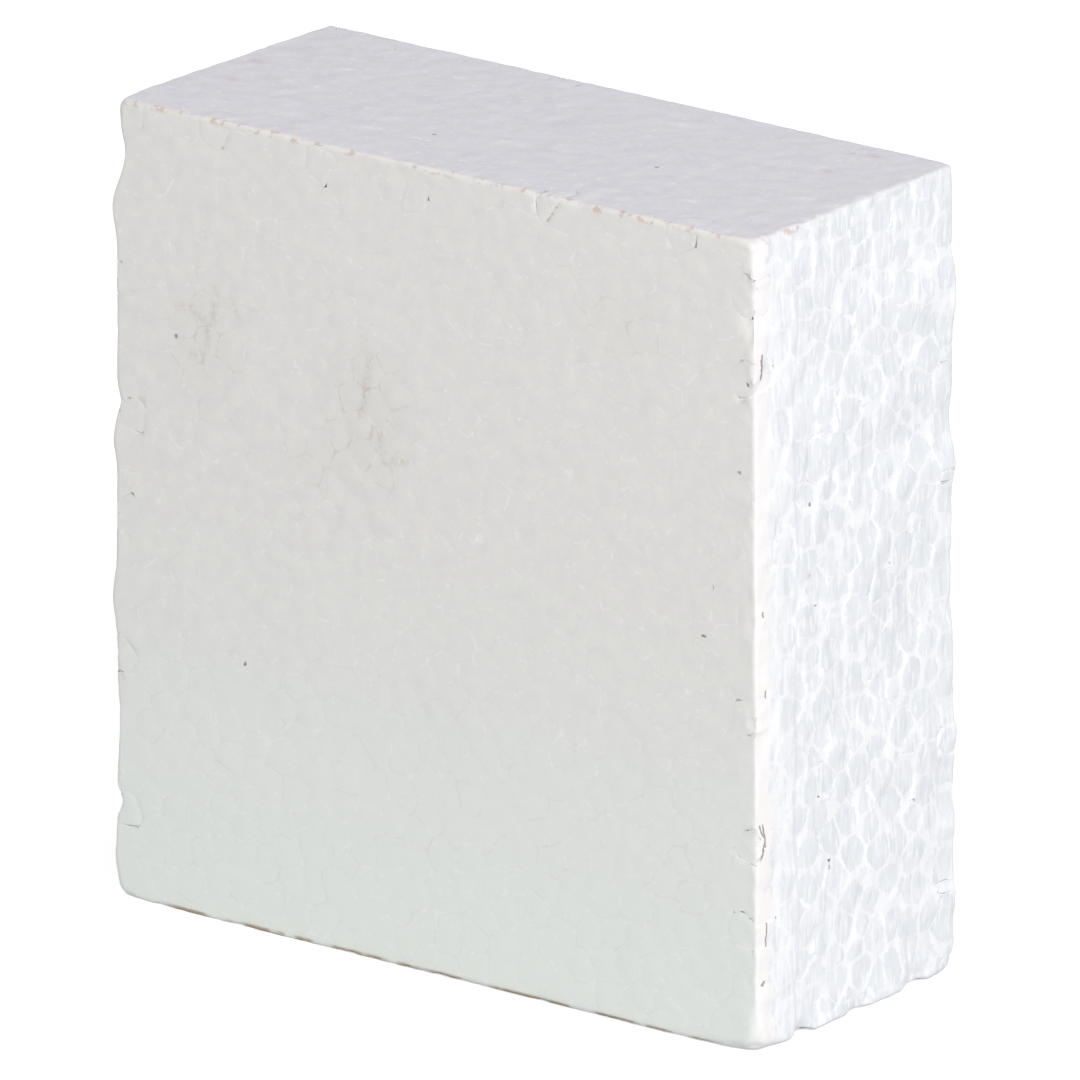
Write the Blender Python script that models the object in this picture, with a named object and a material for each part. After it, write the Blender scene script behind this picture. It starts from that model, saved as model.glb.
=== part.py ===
"""A block of steam-moulded bead foam that stands on its narrow side.

The block is one body. The beads that sit at its worn edges, and those that show most
in its faces, are separate solids, each lying in its own socket in the body.

Frame: +Z up, the moulded front face at -Y, the sawn sides at +X and -X, and the origin
in the middle of the base.
"""

import bmesh
import bpy
import numpy as np
from mathutils import Vector

# The block, in metres.
BLOCK_WIDTH = 0.0955
BLOCK_DEPTH = 0.0395
BLOCK_HEIGHT = 0.1000
LOW_FRONT_FLARE = 0.0008  # the sawn sides stand out this much more at the front of the base
TOP_BACK_NIP = 0.0009  # and this much less at the back of the top
EDGE_ROUND = 0.0011
EDGE_SEGMENTS = 2
CHIP_RADIUS = 0.0022  # a chip out of the front right edge
CHIP_HEIGHT = 0.0900
CHIP_OUT = 0.0011  # how far outside the edge the chip's ball is centred

# The beads, in metres.
BEAD_PITCH = 0.0041
BEAD_SHEETS = 10  # sheets of beads from the front face to the back face
SHEET_MARGIN = 0.0060  # each sheet runs past the block by this much before it is sawn
PACKING_SEED = 41
START_SCATTER = 0.6  # how far a bead starts from its place in an even sheet, in pitches
PUSH_ROUNDS = 6
PUSH_SHARE = 0.3  # of the overlap between two beads, taken up in each round
PUSH_REACH = 1.1  # in pitches
SHEET_ROOM = (0.05, 0.45)  # depth a bead may wander, in sheets: at a moulded face, deeper
ORDERED_SHEETS = 2  # the sheets over which that room grows
SEAM = 0.0003  # the gap between a separate bead and its socket
CELL_REACH = 0.85  # half the side of the cube that a cell is cut from, in pitches
NEIGHBOUR_REACH = 2.1  # in pitches
BURIAL = (0.0004, 0.0018)  # how far under the surface a separate bead's centre lies
SPACING = 2.3  # separate beads stand at least this many pitches apart
STOP_DEPTH = 0.25  # a row of separate beads runs this far under the surface, in pitches

# Rows of separate beads: the ends of each row, and how many beads it has. An end is
# given in half widths, half depths and heights of the block.
BEAD_ROWS = {
    "front_right_edge_bead": ((1, -1, 0.12), (1, -1, 0.96), 7),
    "front_left_edge_bead": ((-1, -1, 0.12), (-1, -1, 0.96), 6),
    "back_right_edge_bead": ((1, 1, 0.12), (1, 1, 0.96), 6),
    "back_left_edge_bead": ((-1, 1, 0.12), (-1, 1, 0.96), 4),
    "top_front_edge_bead": ((-0.76, -1, 1), (0.76, -1, 1), 5),
    "top_back_edge_bead": ((-0.76, 1, 1), (0.76, 1, 1), 4),
    "right_side_front_bead": ((1, -0.4, 0.14), (1, -0.4, 0.88), 5),
    "right_side_back_bead": ((1, 0.35, 0.2), (1, 0.35, 0.94), 5),
    "left_side_bead": ((-1, 0.0, 0.16), (-1, 0.1, 0.9), 5),
}

FOAM_COLOUR = (0.78, 0.78, 0.77)
BEAD_COLOUR = (0.88, 0.89, 0.90)
FOAM_ROUGHNESS = 0.75


def clear_scene():
    for thing in list(bpy.data.objects):
        bpy.data.objects.remove(thing, do_unlink=True)


def foam_material(name, colour):
    material = bpy.data.materials.new(name)
    material.use_nodes = True
    shader = material.node_tree.nodes["Principled BSDF"]
    shader.inputs["Base Color"].default_value = (*colour, 1.0)
    shader.inputs["Roughness"].default_value = FOAM_ROUGHNESS
    shader.inputs["Metallic"].default_value = 0.0
    return material


def new_object(name, bm, material=None):
    mesh = bpy.data.meshes.new(name)
    bm.to_mesh(mesh)
    bm.free()
    made = bpy.data.objects.new(name, mesh)
    bpy.context.scene.collection.objects.link(made)
    if material:
        mesh.materials.append(material)
    return made


def make_guide(thing):
    thing.hide_render = True
    thing.display_type = "WIRE"
    return thing


def add_boolean(thing, operation, cutter):
    modifier = thing.modifiers.new(cutter.name, "BOOLEAN")
    modifier.operation = operation
    modifier.solver = "EXACT"
    modifier.object = cutter
    return modifier


def half_width(y, z):
    """Half the block's width at a depth and a height, as it was sawn a little out of square."""
    back = y / BLOCK_DEPTH + 0.5
    high = z / BLOCK_HEIGHT
    flare = LOW_FRONT_FLARE * (1 - back) * (1 - high)
    return BLOCK_WIDTH / 2 + flare - TOP_BACK_NIP * back * high


def add_block(name, material=None):
    """The block with its edges rounded over, and no sockets yet."""
    bm = bmesh.new()
    bmesh.ops.create_cube(bm, size=1.0)
    for corner in bm.verts:
        y = corner.co.y * BLOCK_DEPTH
        z = (corner.co.z + 0.5) * BLOCK_HEIGHT
        corner.co = (2 * corner.co.x * half_width(y, z), y, z)
    bmesh.ops.triangulate(bm, faces=[f for f in bm.faces if abs(f.normal.x) > 0.5])
    square = [e for e in bm.edges if e.calc_face_angle() > 1.0]
    bmesh.ops.bevel(
        bm,
        geom=square,
        offset=EDGE_ROUND,
        segments=EDGE_SEGMENTS,
        profile=0.5,
        affect="EDGES",
    )
    return new_object(name, bm, material)


def even_sheets():
    """Bead centres in even, close-packed sheets that lie over each other's gaps."""
    row_step = np.sqrt(3) / 2
    rows = int((BLOCK_HEIGHT + 2 * SHEET_MARGIN) / (BEAD_PITCH * row_step))
    columns = int((BLOCK_WIDTH + 2 * SHEET_MARGIN) / BEAD_PITCH)
    sheet, row, column = np.indices((BEAD_SHEETS, rows, columns))
    turn = sheet % 3
    x = (column - (columns - 1) / 2 + (row % 2) / 2 + turn / 3) * BEAD_PITCH
    y = ((sheet + 0.5) / BEAD_SHEETS - 0.5) * BLOCK_DEPTH
    z = (row + turn / 3) * row_step * BEAD_PITCH - SHEET_MARGIN
    return np.stack([x, y, z], axis=-1).reshape(BEAD_SHEETS, -1, 3)


def pushed_apart(points, others):
    """How each point moves when it and the others are beads that may not overlap."""
    apart = points[:, None] - others[None]
    distance = np.sqrt(np.einsum("ijk,ijk->ij", apart, apart))
    distance[distance == 0] = np.inf
    push = np.maximum(PUSH_REACH * BEAD_PITCH / distance - 1, 0)
    return PUSH_SHARE * np.einsum("ijk,ij->ik", apart, push)


def bead_centres():
    """The centres of all the beads. They start scattered about even sheets and push each
    other apart. The sheets against the moulded front and back faces stay flat."""
    rng = np.random.default_rng(PACKING_SEED)
    beads = even_sheets()
    home = beads[..., 1].copy()
    from_face = np.minimum(np.arange(BEAD_SHEETS), np.arange(BEAD_SHEETS)[::-1])
    room = np.interp(from_face, [0, ORDERED_SHEETS], SHEET_ROOM) * BLOCK_DEPTH / BEAD_SHEETS
    room = room[:, None]
    beads += START_SCATTER * BEAD_PITCH * rng.uniform(-1, 1, beads.shape)
    beads[..., 1] = home + room * rng.uniform(-1, 1, home.shape)
    for _ in range(PUSH_ROUNDS):
        moves = [
            pushed_apart(beads[i], beads[max(i - 1, 0) : i + 2].reshape(-1, 3))
            for i in range(BEAD_SHEETS)
        ]
        beads += np.array(moves)
        beads[..., 1] = np.clip(beads[..., 1], home - room, home + room)
    return beads.reshape(-1, 3)


def burial(points):
    """How far each point lies under the block's nearest face, negative outside."""
    x, y, z = points.T
    return np.min(
        [
            half_width(y, z) - np.abs(x),
            BLOCK_DEPTH / 2 - np.abs(y),
            z,
            BLOCK_HEIGHT - z,
        ],
        axis=0,
    )


def choose_beads(centres):
    """The beads that are modelled apart from the body: along each row, the bead just
    under the surface that is nearest each stop and not too near one already chosen.
    Gives {name: index}."""
    size = np.array([BLOCK_WIDTH / 2, BLOCK_DEPTH / 2, BLOCK_HEIGHT])
    depth = burial(centres)
    free = (depth > BURIAL[0]) & (depth < BURIAL[1])
    chosen = {}
    for row, (start, end, count) in BEAD_ROWS.items():
        for number, stop in enumerate(np.linspace(start, end, count), 1):
            inwards = np.trunc(stop) * STOP_DEPTH * BEAD_PITCH
            distance = np.linalg.norm(centres - (stop * size - inwards), axis=1)
            found = int(np.argmin(np.where(free, distance, np.inf)))
            chosen[f"{row}_{number}"] = found
            free &= np.linalg.norm(centres - centres[found], axis=1) > SPACING * BEAD_PITCH
    return chosen


def bead_cell(centre, centres, outwards):
    """A bead's cell: a cube round its centre, cut back by the plane halfway to each
    neighbour, with each plane moved outwards by a distance."""
    offsets = centres - centre
    distance = np.linalg.norm(offsets, axis=1)
    near = (distance > 0) & (distance < NEIGHBOUR_REACH * BEAD_PITCH)
    bm = bmesh.new()
    bmesh.ops.create_cube(bm, size=2 * CELL_REACH * BEAD_PITCH)
    for offset, length in zip(offsets[near], distance[near]):
        normal = Vector(offset / length)
        bmesh.ops.bisect_plane(
            bm,
            geom=bm.verts[:] + bm.edges[:] + bm.faces[:],
            plane_co=normal * (length / 2 + outwards),
            plane_no=normal,
            clear_outer=True,
        )
        bmesh.ops.holes_fill(bm, edges=bm.edges[:])
    bmesh.ops.dissolve_degenerate(bm, dist=0.00002, edges=bm.edges[:])
    bmesh.ops.recalc_face_normals(bm, faces=bm.faces[:])
    return bm


def add_bead(name, centre, centres, envelope, material):
    """One separate bead: its cell, kept to the block's outline."""
    bead = new_object(name, bead_cell(centre, centres, -SEAM / 2), material)
    bead.location = centre
    add_boolean(bead, "INTERSECT", envelope)
    return bead


def cut_socket(body, name, centre, centres):
    """The hollow in the body that a separate bead lies in."""
    cutter = make_guide(new_object(name, bead_cell(centre, centres, SEAM / 2)))
    cutter.location = centre
    add_boolean(body, "DIFFERENCE", cutter)


def cut_chip(body):
    """A shallow chip, rubbed out of the front right edge."""
    bm = bmesh.new()
    bmesh.ops.create_icosphere(bm, subdivisions=2, radius=CHIP_RADIUS)
    cutter = make_guide(new_object("edge_chip", bm))
    edge_x = half_width(-BLOCK_DEPTH / 2, CHIP_HEIGHT)
    outwards = CHIP_OUT / np.sqrt(2)
    cutter.location = (edge_x + outwards, -BLOCK_DEPTH / 2 - outwards, CHIP_HEIGHT)
    add_boolean(body, "DIFFERENCE", cutter)


def build():
    clear_scene()
    foam = foam_material("moulded_foam", FOAM_COLOUR)
    bead_foam = foam_material("bead_foam", BEAD_COLOUR)
    envelope = make_guide(add_block("block_envelope"))
    body = add_block("foam_block", foam)
    centres = bead_centres()
    for name, index in choose_beads(centres).items():
        cut_socket(body, name.replace("_bead_", "_socket_"), centres[index], centres)
        add_bead(name, centres[index], centres, envelope, bead_foam)
    cut_chip(body)


build()
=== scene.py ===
import bpy
import numpy as np
from mathutils import Matrix, Vector


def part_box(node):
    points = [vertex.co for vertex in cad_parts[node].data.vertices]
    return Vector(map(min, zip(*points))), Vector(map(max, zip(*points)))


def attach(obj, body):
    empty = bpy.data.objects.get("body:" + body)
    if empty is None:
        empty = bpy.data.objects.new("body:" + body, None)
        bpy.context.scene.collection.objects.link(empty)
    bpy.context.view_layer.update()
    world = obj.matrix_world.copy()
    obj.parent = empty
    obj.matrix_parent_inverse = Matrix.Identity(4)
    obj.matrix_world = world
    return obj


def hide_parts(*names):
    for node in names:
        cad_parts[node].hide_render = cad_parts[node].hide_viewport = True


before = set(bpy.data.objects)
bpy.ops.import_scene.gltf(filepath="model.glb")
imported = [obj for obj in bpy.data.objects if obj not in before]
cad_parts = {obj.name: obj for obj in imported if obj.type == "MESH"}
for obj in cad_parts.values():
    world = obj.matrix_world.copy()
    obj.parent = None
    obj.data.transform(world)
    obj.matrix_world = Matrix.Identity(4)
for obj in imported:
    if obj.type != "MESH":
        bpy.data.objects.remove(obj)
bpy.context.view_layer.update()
mm = 0.001

print("foam block: sizes from the frame")
blockLow, blockHigh = (np.array(corner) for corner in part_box("foam_block"))
block = {
    "width": 95.5 * mm,  # at mid height, between the sawn sides
    "depth": blockHigh[1] - blockLow[1],
    "height": blockHigh[2] - blockLow[2],
    "lowFrontFlare": 0.8 * mm,  # sawn a little out of square
    "topBackNip": 0.9 * mm,
    "gridStep": 0.62 * mm,
    "edgeMargin": 1.5 * mm,  # beside the edges the grid is twice as close
    "rimSnap": 0.62,  # grid points this near a socket's rim move onto it, in steps
    "sharpAngle": 42,
}
blockSize = np.array([block["width"], block["depth"], block["height"]])
blockMiddle = np.array([0.0, 0.0, block["height"] / 2])

# the same bead packing as the frame's sockets were cut with
packing = {
    "pitch": 4.1 * mm,
    "sheets": 10,
    "margin": 6.0 * mm,
    "seed": 41,
    "scatter": 0.6,
    "rounds": 6,
    "share": 0.3,
    "reach": 1.1,
    "room": (0.05, 0.45),
    "orderedSheets": 2,
    "searchCell": 2,  # in pitches, as are the next two
    "searchReach": 1.6,
    "neighbourReach": 2.1,
}


def evenSheets():
    # rows half a pitch out of step make a close-packed sheet, and each sheet steps over
    # by a third of a row and a column, so that it lies in the gaps of the one before
    rowStep = np.sqrt(3) / 2
    rows = int((block["height"] + 2 * packing["margin"]) / (packing["pitch"] * rowStep))
    columns = int((block["width"] + 2 * packing["margin"]) / packing["pitch"])
    sheet, row, column = np.indices((packing["sheets"], rows, columns))
    turn = sheet % 3
    x = (column - (columns - 1) / 2 + (row % 2) / 2 + turn / 3) * packing["pitch"]
    y = ((sheet + 0.5) / packing["sheets"] - 0.5) * block["depth"]
    z = (row + turn / 3) * rowStep * packing["pitch"] - packing["margin"]
    return np.stack([x, y, z], axis=-1).reshape(packing["sheets"], -1, 3)


def pushedApart(points, others):
    # each overlapping pair gives a push along the line between them, as long as a share
    # of the overlap
    apart = points[:, None] - others[None]
    distance = np.sqrt(np.einsum("ijk,ijk->ij", apart, apart))
    distance[distance == 0] = np.inf
    push = np.maximum(packing["reach"] * packing["pitch"] / distance - 1, 0)
    return packing["share"] * np.einsum("ijk,ij->ik", apart, push)


def packBeads():
    rng = np.random.default_rng(packing["seed"])
    count = packing["sheets"]
    beads = evenSheets()
    home = beads[..., 1].copy()
    fromFace = np.minimum(np.arange(count), np.arange(count)[::-1])
    room = np.interp(fromFace, [0, packing["orderedSheets"]], packing["room"])
    room = (room * block["depth"] / count)[:, None]
    beads += packing["scatter"] * packing["pitch"] * rng.uniform(-1, 1, beads.shape)
    beads[..., 1] = home + room * rng.uniform(-1, 1, home.shape)
    for _ in range(packing["rounds"]):
        beads += np.array(
            [
                pushedApart(beads[i], beads[max(i - 1, 0) : i + 2].reshape(-1, 3))
                for i in range(count)
            ]
        )
        beads[..., 1] = np.clip(beads[..., 1], home - room, home + room)
    return beads.reshape(-1, 3)


print("foam block: packing the beads")
beadCentres = packBeads()
beadTones = np.random.default_rng(5).uniform(-1, 1, (len(beadCentres), 6))


def findSeparateBeads():
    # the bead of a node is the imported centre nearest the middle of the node's box
    found = {}
    for node in sorted(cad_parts):
        if node != "foam_block":
            low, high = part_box(node)
            away = np.linalg.norm(beadCentres - np.array((low + high) / 2), axis=1)
            found[node] = int(np.argmin(away))
    return found


separateBeads = findSeparateBeads()


def nearestBeads(points):
    # for each point: its nearest bead and the next two, and how far it is from the plane
    # halfway to each of those two, which is (far squared - near squared) / (2 x gap)
    side = packing["searchCell"] * packing["pitch"]
    reach = packing["searchReach"] * packing["pitch"]
    cell = np.floor((points - points.min(axis=0)) / side).astype(np.int64)
    key = (cell[:, 0] * 1000 + cell[:, 1]) * 1000 + cell[:, 2]
    order = np.argsort(key, kind="stable")
    starts = np.flatnonzero(np.diff(key[order], prepend=-1))
    nearest = np.empty((len(points), 3), np.int64)
    squares = np.empty((len(points), 3))
    for part in np.split(order, starts[1:]):
        here = points[part]
        near = beadCentres > here.min(axis=0) - reach
        near &= beadCentres < here.max(axis=0) + reach
        close = np.flatnonzero(near.all(axis=1))
        apart = here[:, None] - beadCentres[close][None]
        square = np.einsum("ijk,ijk->ij", apart, apart)
        best = np.argpartition(square, 3, axis=1)[:, :3]
        found = np.take_along_axis(square, best, axis=1)
        rank = np.argsort(found, axis=1)
        squares[part] = np.take_along_axis(found, rank, axis=1)
        nearest[part] = close[np.take_along_axis(best, rank, axis=1)]
    gaps = beadCentres[nearest[:, 1:]] - beadCentres[nearest[:, :1]]
    walls = (squares[:, 1:] - squares[:, :1]) / (2 * np.linalg.norm(gaps, axis=2))
    return nearest, np.abs(walls)


noiseTable = np.random.default_rng(11).random((61, 61, 61))


def bell(distance, width):
    # e^-(distance / width)^2
    return np.exp(-((distance / width) ** 2))


def smoothNoise(points, size, shift=0.0):
    # random values on a cubic lattice, eased between the eight nearest with
    # 3t^2 - 2t^3, from -1 to 1
    place = points / size + 1000.0 + 17.3 * shift
    cell = np.floor(place).astype(np.int64)
    part = place - cell
    part = part * part * (3 - 2 * part)
    cell %= len(noiseTable)
    after = (cell + 1) % len(noiseTable)
    total = np.zeros(len(points))
    for corner in np.ndindex(2, 2, 2):
        i, j, k = np.where(corner, after, cell).T
        total += np.where(corner, part, 1 - part).prod(axis=1) * noiseTable[i, j, k]
    return 2 * total - 1


sawing = {
    "wave": 0.30 * mm,
    "waveSize": 7 * mm,
    "calmReach": 8 * mm,  # near the upright edges the waves are lower
    "calming": 0.65,
    "bulgeReach": 14 * mm,
    "easing": 4,
    "bulges": {  # on the left (-1) and the right (1): height, how far out, half length
        -1: ((93.3, -1.20, 3.4), (86.3, 0.75, 3.0), (62.3, -0.60, 1.5), (57.5, 0.60, 2.4),
             (37.5, 0.75, 3.2), (22.0, -0.45, 4.5), (12.0, -0.85, 1.4), (4.5, 0.25, 3.0)),
        1: ((85.0, 0.85, 3.2), (69.0, -0.50, 3.0), (63.5, 0.35, 2.0), (48.0, -0.45, 5.0),
            (30.5, 0.35, 3.0), (18.0, 0.25, 2.5), (10.0, 0.50, 2.0)),
    },
}
outline = {
    "edgeRound": 0.40 * mm,
    "edgeWear": 0.14 * mm,
    "wearSize": 7 * mm,
    "lowRightExtra": 0.35 * mm,  # the lower edge of the right side is rubbed rounder
    "lowRightReach": 4 * mm,
    "softCorners": (  # where, in half sizes, the extra rounding and its reach
        ((1, -1, -1), 1.7 * mm, 4.5 * mm),
        ((1, 1, -1), 1.1 * mm, 3.5 * mm),
        ((1, -1, 1), 0.6 * mm, 3.0 * mm),
        ((1, 1, 1), 0.3 * mm, 3.0 * mm),
        ((-1, -1, -1), 1.2 * mm, 3.0 * mm),
        ((-1, -1, 1), 0.9 * mm, 3.0 * mm),
    ),
}


def taper(points):
    # half the width here over half the nominal width; it grows to the low front and
    # shrinks to the top back, both in proportion
    back = points[:, 1] / block["depth"] + 0.5
    high = points[:, 2] / block["height"] + 0.5
    half = block["width"] / 2
    flare = block["lowFrontFlare"] * (1 - back) * (1 - high)
    return (half + flare - block["topBackNip"] * back * high) / half


def standingOut(points):
    # how far each sawn side bulges out of true: the listed bumps and dents, each a bell
    # along its height, and random waves, easing off to nothing towards the middle of the
    # width as the fourth power of the distance from it
    side = np.sign(points[:, 0])
    inwards = np.abs(points[:, 1] - side * block["depth"] / 2)
    fromFront = points[:, 1] + block["depth"] / 2
    atSide = np.stack([side * block["width"] / 2, points[:, 1], points[:, 2]], axis=-1)
    listed = bell(inwards, sawing["bulgeReach"])
    calm = sawing["calming"] * bell(np.minimum(inwards, fromFront), sawing["calmReach"])
    total = sawing["wave"] * smoothNoise(atSide, sawing["waveSize"], 1) * (1 - calm)
    for which, places in sawing["bulges"].items():
        for high, out, half in places:
            bump = bell(points[:, 2] / mm - high, half)
            total += (side == which) * listed * out * mm * bump
    share = np.minimum(np.abs(points[:, 0]) / (block["width"] / 2), 1) ** sawing["easing"]
    return side * share * total


def edgeRound(points):
    # the rounding of the edges near a point: a base size, slow wear, and softer corners
    size = outline["edgeRound"] + outline["edgeWear"] * smoothNoise(points, outline["wearSize"])
    onRight = points[:, 0] > 0
    lowRight = onRight * bell(points[:, 2] + blockSize[2] / 2, outline["lowRightReach"])
    size += outline["lowRightExtra"] * lowRight
    for where, extra, reach in outline["softCorners"]:
        away = np.linalg.norm(points - np.array(where) * blockSize / 2, axis=1)
        size += extra * bell(away, reach)
    return size[:, None]


def roundedOver(sharp):
    # each point of a sharp box is clamped to a core box that is smaller by the rounding,
    # then set that far out from it; gives places and normals
    size = edgeRound(sharp)
    core = np.clip(sharp, size - blockSize / 2, blockSize / 2 - size)
    normal = sharp - core
    normal /= np.linalg.norm(normal, axis=1, keepdims=True)
    return core + size * normal, normal


def aboveSkin(points):
    # distance outside the rounded box, negative inside, and the outward normal
    level = points.copy()
    for _ in range(2):
        level[:, 0] = points[:, 0] - standingOut(level)
    square = level - blockMiddle
    square[:, 0] /= taper(square)
    size = edgeRound(square)
    past = np.abs(square) - (blockSize / 2 - size)
    outside = np.maximum(past, 0)
    length = np.linalg.norm(outside, axis=1)
    distance = length + np.minimum(past.max(axis=1), 0) - size[:, 0]
    normal = outside * np.sign(square) / np.maximum(length, 1e-9)[:, None]
    return distance, normal


# the relief of the bead pattern on the three kinds of face
reliefs = {
    "moulded": {"crease": 0.034 * mm, "creaseWidth": 0.24 * mm, "dome": 0.026 * mm,
                "domeWidth": 0.9 * mm, "step": 0.008 * mm, "tilt": 0.010, "ridge": 0.0},
    "sawn": {"crease": 0.05 * mm, "creaseWidth": 0.20 * mm, "dome": 0.05 * mm,
             "domeWidth": 0.8 * mm, "step": 0.09 * mm, "tilt": 0.055, "ridge": 0.09 * mm},
    "planed": {"crease": 0.03 * mm, "creaseWidth": 0.22 * mm, "dome": 0.015 * mm,
               "domeWidth": 0.9 * mm, "step": 0.02 * mm, "tilt": 0.020, "ridge": 0.0},
}
randomRelief = {  # height and size of the random relief on each kind of face
    "moulded": ((0.05 * mm, 9 * mm), (0.026 * mm, 1.4 * mm), (0.008 * mm, 0.7 * mm)),
    "sawn": ((0.14 * mm, 3.2 * mm), (0.07 * mm, 1.1 * mm)),
    "planed": ((0.05 * mm, 8 * mm), (0.065 * mm, 1.7 * mm), (0.045 * mm, 0.9 * mm)),
    "edge": ((0.20 * mm, 2.1 * mm), (0.18 * mm, 0.9 * mm)),
}
pressing = {"mean": 0.75, "swing": 0.9, "least": 0.25, "size": 8 * mm}  # of the skin
seamLean = 1.2  # the weaker a seam, the deeper its crease
edgeWear = {
    "reach": 1.0 * mm,
    "lean": 0.15,  # worn away more than built up
    "crisp": 0.15,
    "plain": 0.45,
    "worn": 1.0,
    "crispReach": 1.5 * mm,
    "crispCalm": 0.6,
    "left": -45, "right": 45, "back": 17, "front": -17, "top": 97, "wornAbove": 78,  # mm
}
chips = (  # where, in half widths, half depths and heights, the reach and the depth
    ((1.0, -1.0, 0.900), 1.7 * mm, 0.55 * mm),
    ((1.0, -1.0, 0.53), 1.0 * mm, 0.30 * mm),
    ((1.0, -1.0, 0.41), 0.8 * mm, 0.25 * mm),
    ((1.0, -0.52, 0.0), 1.8 * mm, 1.10 * mm),
    ((1.0, 0.02, 0.0), 1.8 * mm, 0.45 * mm),
    ((1.0, 0.63, 0.0), 2.2 * mm, 0.70 * mm),
)


def pairRandom(nearest):
    # the same number from 0 to 1 for both beads of a pair: the fraction of a large sine
    total = nearest[:, 0] + nearest[:, 1]
    product = (nearest[:, 0] * nearest[:, 1]) % 7919
    return np.mod(np.sin(total * 12.9898 + product * 78.233) * 43758.5453, 1.0)


def faceRelief(kind, points, nearest, wall, strength):
    # each bead is a low dome, 1 - e^(-wall/width), stepped and tilted by its own random
    # amounts, with a crease or a ridge, a bell across the wall, along its seams
    shape = reliefs[kind]
    tone = beadTones[nearest[:, 0]]
    fromCentre = points - beadCentres[nearest[:, 0]]
    seam = bell(wall, shape["creaseWidth"])
    height = shape["dome"] * (1 - np.exp(-wall / shape["domeWidth"]))
    tilted = (tone[:, 1:4] * fromCentre).sum(axis=1)
    height += shape["step"] * tone[:, 0] + shape["tilt"] * tilted
    atSeam = shape["ridge"] * strength - shape["crease"] * (seamLean - strength)
    height = height * (1 - seam) + atSeam * seam
    if kind == "moulded":  # flatter where the mould pressed harder
        shown = pressing["mean"] + pressing["swing"] * smoothNoise(points, pressing["size"], 9)
        height *= np.clip(shown, pressing["least"], 1)
    for number, (rise, size) in enumerate(randomRelief[kind]):
        height += rise * smoothNoise(points, size, number + 1)
    return height


def toEdge(points):
    # how far each point is from the nearest edge, which is the second least of its
    # distances to the planes of the faces
    return np.sort(np.abs(np.abs(points - blockMiddle) - blockSize / 2), axis=1)[:, 1]


def relief(points, normal, nearest, walls):
    # how far the skin stands out from the rounded box at each point: the relief of the
    # three kinds of face, each by the square of the normal's part, worn edges and chips
    wall = walls[:, 0]
    side, front, level = (normal**2).T
    strength = pairRandom(nearest)
    height = front * faceRelief("moulded", points, nearest, wall, strength)
    height += side * faceRelief("sawn", points, nearest, wall, strength)
    height += level * faceRelief("planed", points, nearest, wall, strength)
    fromEdge = toEdge(points)
    x, y, z = points.T / mm
    onTop = z > edgeWear["top"]
    highFront = (y < edgeWear["front"]) & (z > edgeWear["wornAbove"])
    crisp = (x < edgeWear["left"]) | (onTop & (y > edgeWear["back"]))
    worn = (x > edgeWear["right"]) & (onTop | highFront)
    height *= 1 - edgeWear["crispCalm"] * crisp * bell(fromEdge, edgeWear["crispReach"])
    edge = bell(fromEdge, edgeWear["reach"])
    edge *= np.where(crisp, edgeWear["crisp"], np.where(worn, edgeWear["worn"], edgeWear["plain"]))
    for number, (rise, size) in enumerate(randomRelief["edge"]):
        height += edge * rise * (smoothNoise(points, size, number + 5) - edgeWear["lean"])
    for (across, behind, high), reach, depth in chips:
        place = [across * blockSize[0] / 2, behind * blockSize[1] / 2, high * blockSize[2]]
        away = np.linalg.norm(points - np.array(place), axis=1)
        height -= depth * np.exp(-((away / reach) ** 4))
    return np.where(normal[:, 2] < -0.5, np.minimum(height, 0), height)


frontMarks = (  # dark specks and fibres: x and z of both ends, and the width, in mm
    ((-28.5, 33.1), (-28.4, 33.2), 0.30),
    ((40.4, 50.4), (40.6, 50.4), 0.30),
    ((-38.8, 72.0), (-38.7, 72.0), 0.24),
    ((46.8, 82.4), (46.8, 82.5), 0.28),
)
sideMarks = (  # y behind the front and z of both ends, and the width, in mm
    ((1.6, 82.9), (1.4, 85.8), 0.28),
    ((0.9, 24.2), (1.5, 26.4), 0.20),
    ((1.5, 26.4), (0.8, 28.3), 0.20),
    ((1.4, 28.2), (1.6, 25.6), 0.17),
    ((1.9, 13.2), (1.9, 16.0), 0.22),
    ((1.2, 8.6), (1.5, 9.0), 0.24),
    ((1.9, 44.0), (1.8, 44.6), 0.20),
    ((1.3, 54.0), (1.3, 54.5), 0.20),
    ((10.7, 65.3), (10.7, 65.4), 0.30),
)
topMarks = (  # x and y behind the front of both ends, and the width, in mm
    ((20.4, 16.7), (20.6, 16.8), 0.30),
    ((-8.6, 11.3), (-8.4, 11.4), 0.30),
)
topRedMarks = (
    ((-44.4, 21.9), (-43.4, 21.7), 0.60),
    ((-41.5, 14.2), (-41.0, 14.0), 0.50),
    ((37.8, 36.0), (38.1, 36.1), 0.50),
    ((36.5, 28.3), (37.3, 28.3), 0.45),
)
topFlecks = (
    ((-10.0, 8.9), (-7.6, 9.1), 0.38),
    ((6.3, 15.6), (6.8, 15.7), 0.42),
    ((11.2, 32.2), (12.0, 32.3), 0.60),
    ((31.4, 8.3), (32.6, 8.4), 0.40),
    ((-21.2, 31.3), (-20.2, 31.5), 0.50),
    ((-36.4, 17.7), (-35.3, 17.9), 0.50),
    ((-33.8, 25.7), (-32.9, 26.1), 0.45),
    ((-16.4, 8.6), (-15.2, 8.8), 0.50),
    ((41.3, 17.3), (42.9, 17.8), 0.55),
)
frontFlecks = (
    ((6.1, 55.4), (7.0, 55.9), 0.40),
    ((37.7, 42.7), (38.2, 43.2), 0.34),
)
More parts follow.
